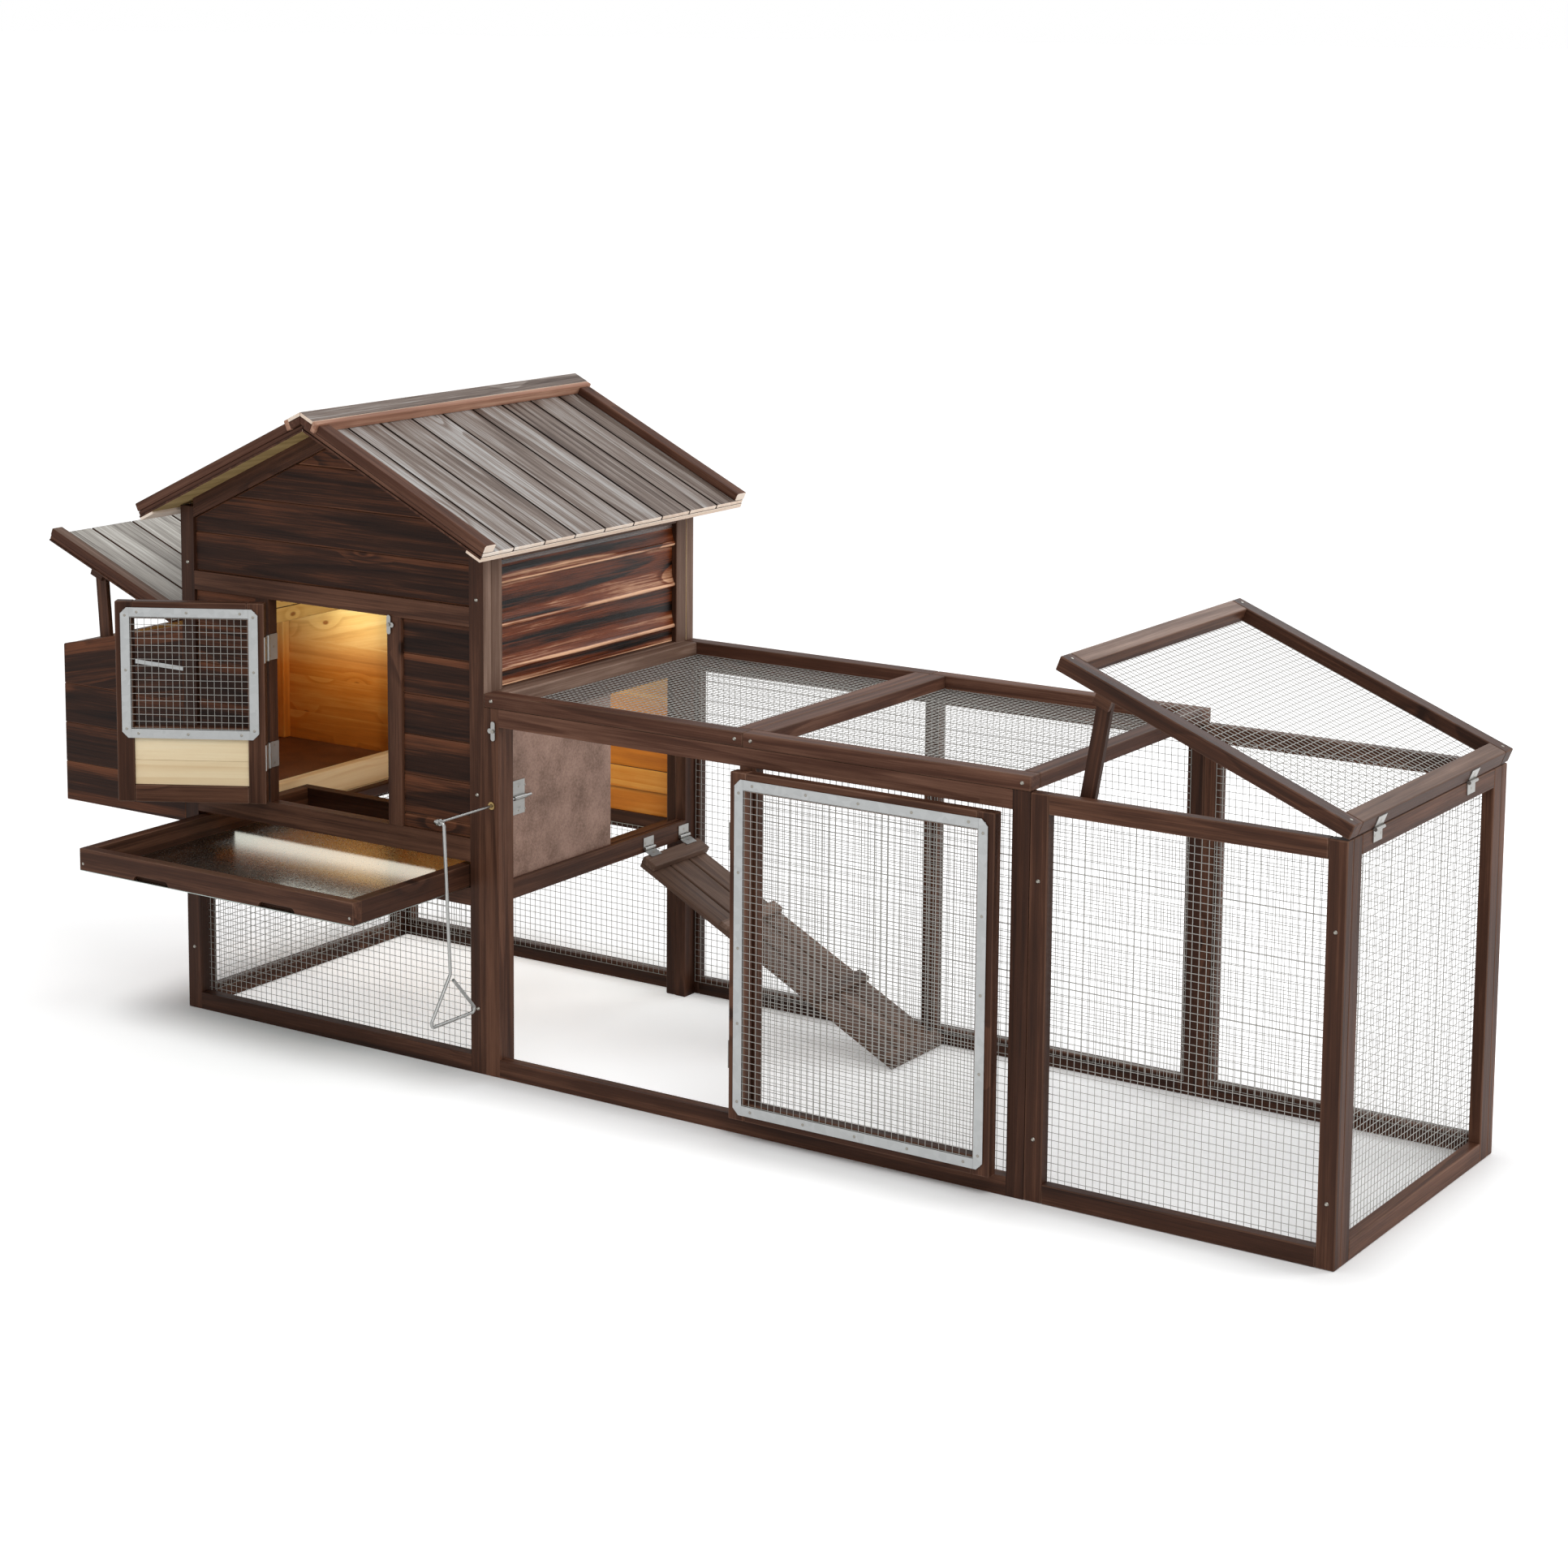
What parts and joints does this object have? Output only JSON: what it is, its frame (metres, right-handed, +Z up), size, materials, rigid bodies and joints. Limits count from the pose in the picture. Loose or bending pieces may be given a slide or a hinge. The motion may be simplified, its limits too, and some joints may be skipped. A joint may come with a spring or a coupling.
{
  "type": "chicken coop with run",
  "caption": "Raised timber hen house with a gabled roof, lidded nest box, pull-out tray and hinged door, joined to a mesh run with a swinging door, lifting lid and ramp",
  "frame": {"origin": "on the ground at the front foot of the seam between the house and the run", "axes": "X along the coop from the house to the run, Y from the front to the back, Z up"},
  "size_m": [2.7013, 1.056, 1.1732],
  "materials": {
    "stained_timber": "dark brown stain, satin",
    "burnt_boards": "dark stain over burnt grain, satin",
    "log_boards": "red-brown stain, gloss",
    "roof_timber": "grey-brown weathered stain, matt",
    "raw_pine": "raw planed pine, matt",
    "hardboard": "brown hardboard, mottled",
    "welded_mesh": "galvanised wire",
    "galvanised_sheet": "galvanised sheet",
    "zinc_hardware": "bright zinc plate"
  },
  "bodies": {
    "coop": {"house_front_frame": "stained_timber", "house_back_frame": "stained_timber", "house_left_frame": "stained_timber", "house_right_frame": "stained_timber", "run_front_frame": "stained_timber", "run_back_frame": "stained_timber", "run_roof_frames": "stained_timber", "end_front_frame": "stained_timber", "end_back_frame": "stained_timber", "end_frame": "stained_timber", "partition_frame": "stained_timber", "house_front_boards": "burnt_boards", "house_back_boards": "burnt_boards", "house_side_boards": "burnt_boards", "nest_box_walls": "burnt_boards", "house_right_boards": "log_boards", "roof_boards": "roof_timber", "roof_battens": "roof_timber", "ridge_cap": "roof_timber", "roof_underlay": "raw_pine", "nest_box_frame": "raw_pine", "tray_runners": "raw_pine", "nest_box_floor": "hardboard", "house_mesh": "welded_mesh", "run_mesh": "welded_mesh", "end_mesh": "welded_mesh", "nest_joint_strip": "galvanised_sheet", "hinge_leaves": "zinc_hardware", "rod_grommet": "zinc_hardware", "latch_screws": "zinc_hardware", "frame_screws": "zinc_hardware"},
    "house_door": {"house_door_frame": "stained_timber", "house_door_panel": "raw_pine", "house_door_mesh": "welded_mesh", "house_door_strips": "galvanised_sheet", "house_door_hinge_flaps": "zinc_hardware"},
    "run_door": {"run_door_frame": "stained_timber", "run_door_mesh": "welded_mesh", "run_door_strips": "galvanised_sheet", "run_door_hinge_flaps": "zinc_hardware"},
    "run_lid": {"run_lid_frame": "stained_timber", "run_lid_mesh": "welded_mesh", "run_lid_prop_block": "stained_timber", "run_lid_hinge_flaps": "zinc_hardware"},
    "run_lid_prop": {"run_lid_prop": "stained_timber"},
    "nest_lid": {"nest_lid_boards": "roof_timber", "nest_lid_prop_block": "stained_timber", "nest_lid_hinge_flaps": "zinc_hardware"},
    "nest_lid_prop": {"nest_lid_prop": "stained_timber"},
    "tray": {"tray_frame": "stained_timber", "tray_sheet": "galvanised_sheet"},
    "pop_door": {"pop_door_panel": "hardboard", "pop_door_bracket": "zinc_hardware", "pop_door_rod": "zinc_hardware"},
    "pull_handle": {"pull_handle": "zinc_hardware"},
    "house_door_latch": {"house_door_latch": "zinc_hardware"},
    "run_door_latch": {"run_door_latch": "zinc_hardware"},
    "ramp": {"ramp_boards": "stained_timber", "ramp_cleats": "stained_timber", "ramp_hinge_flaps": "zinc_hardware"}
  },
  "joints": [
    {"name": "house_door_hinge", "type": "hinge", "parent": "coop", "child": "house_door", "pos_m": [-0.502, -0.004, 0.618], "axis": [0, 0, 1], "range_deg": [-12, 150]},
    {"name": "run_door_hinge", "type": "hinge", "parent": "coop", "child": "run_door", "pos_m": [0.544, -0.004, 0.335], "axis": [0, 0, 1], "range_deg": [-180, 0]},
    {"name": "run_lid_hinge", "type": "hinge", "parent": "coop", "child": "run_lid", "pos_m": [1.644, 0.32, 0.6702], "axis": [0, 1, 0], "range_deg": [-21.7, 66]},
    {"name": "run_lid_prop_pivot", "type": "hinge", "parent": "run_lid", "child": "run_lid_prop", "pos_m": [1.2115, 0.037, 0.82746], "axis": [0, 1, 0], "range_deg": [-64, 12]},
    {"name": "nest_lid_hinge", "type": "hinge", "parent": "coop", "child": "nest_lid", "pos_m": [-0.724, 0.31, 0.73287], "axis": [0, 1, 0], "range_deg": [-34.5, 22]},
    {"name": "nest_lid_prop_pivot", "type": "hinge", "parent": "nest_lid", "child": "nest_lid_prop", "pos_m": [-0.95305, 0.025, 0.81463], "axis": [0, 1, 0], "range_deg": [-52, 10]},
    {"name": "tray_slide", "type": "slide", "parent": "coop", "child": "tray", "axis": [0, -1, 0], "range_m": [-0.312, 0.1]},
    {"name": "pop_door_slide", "type": "slide", "parent": "coop", "child": "pop_door", "axis": [0, 1, 0], "range_m": [0, 0.136]},
    {"name": "pull_handle_swing", "type": "hinge", "parent": "pop_door", "child": "pull_handle", "pos_m": [0.0173, -0.146, 0.495], "axis": [-1, 0, 0], "range_deg": [0, 60]},
    {"name": "house_door_latch_turn", "type": "hinge", "parent": "coop", "child": "house_door_latch", "pos_m": [-0.214, -0.0025, 0.795], "axis": [0, 1, 0], "range_deg": [0, 90]},
    {"name": "run_door_latch_turn", "type": "hinge", "parent": "coop", "child": "run_door_latch", "pos_m": [0.0222, -0.0025, 0.63], "axis": [0, 1, 0], "range_deg": [0, 90]},
    {"name": "ramp_hinge", "type": "hinge", "parent": "coop", "child": "ramp", "pos_m": [0.0262, 0.521, 0.323], "axis": [0, -1, 0], "range_deg": [0, 55]}
  ],
  "couplings": [
    {"joint": "pull_handle_swing", "follows": "pop_door_slide", "rad_per_m": 7.7}
  ]
}
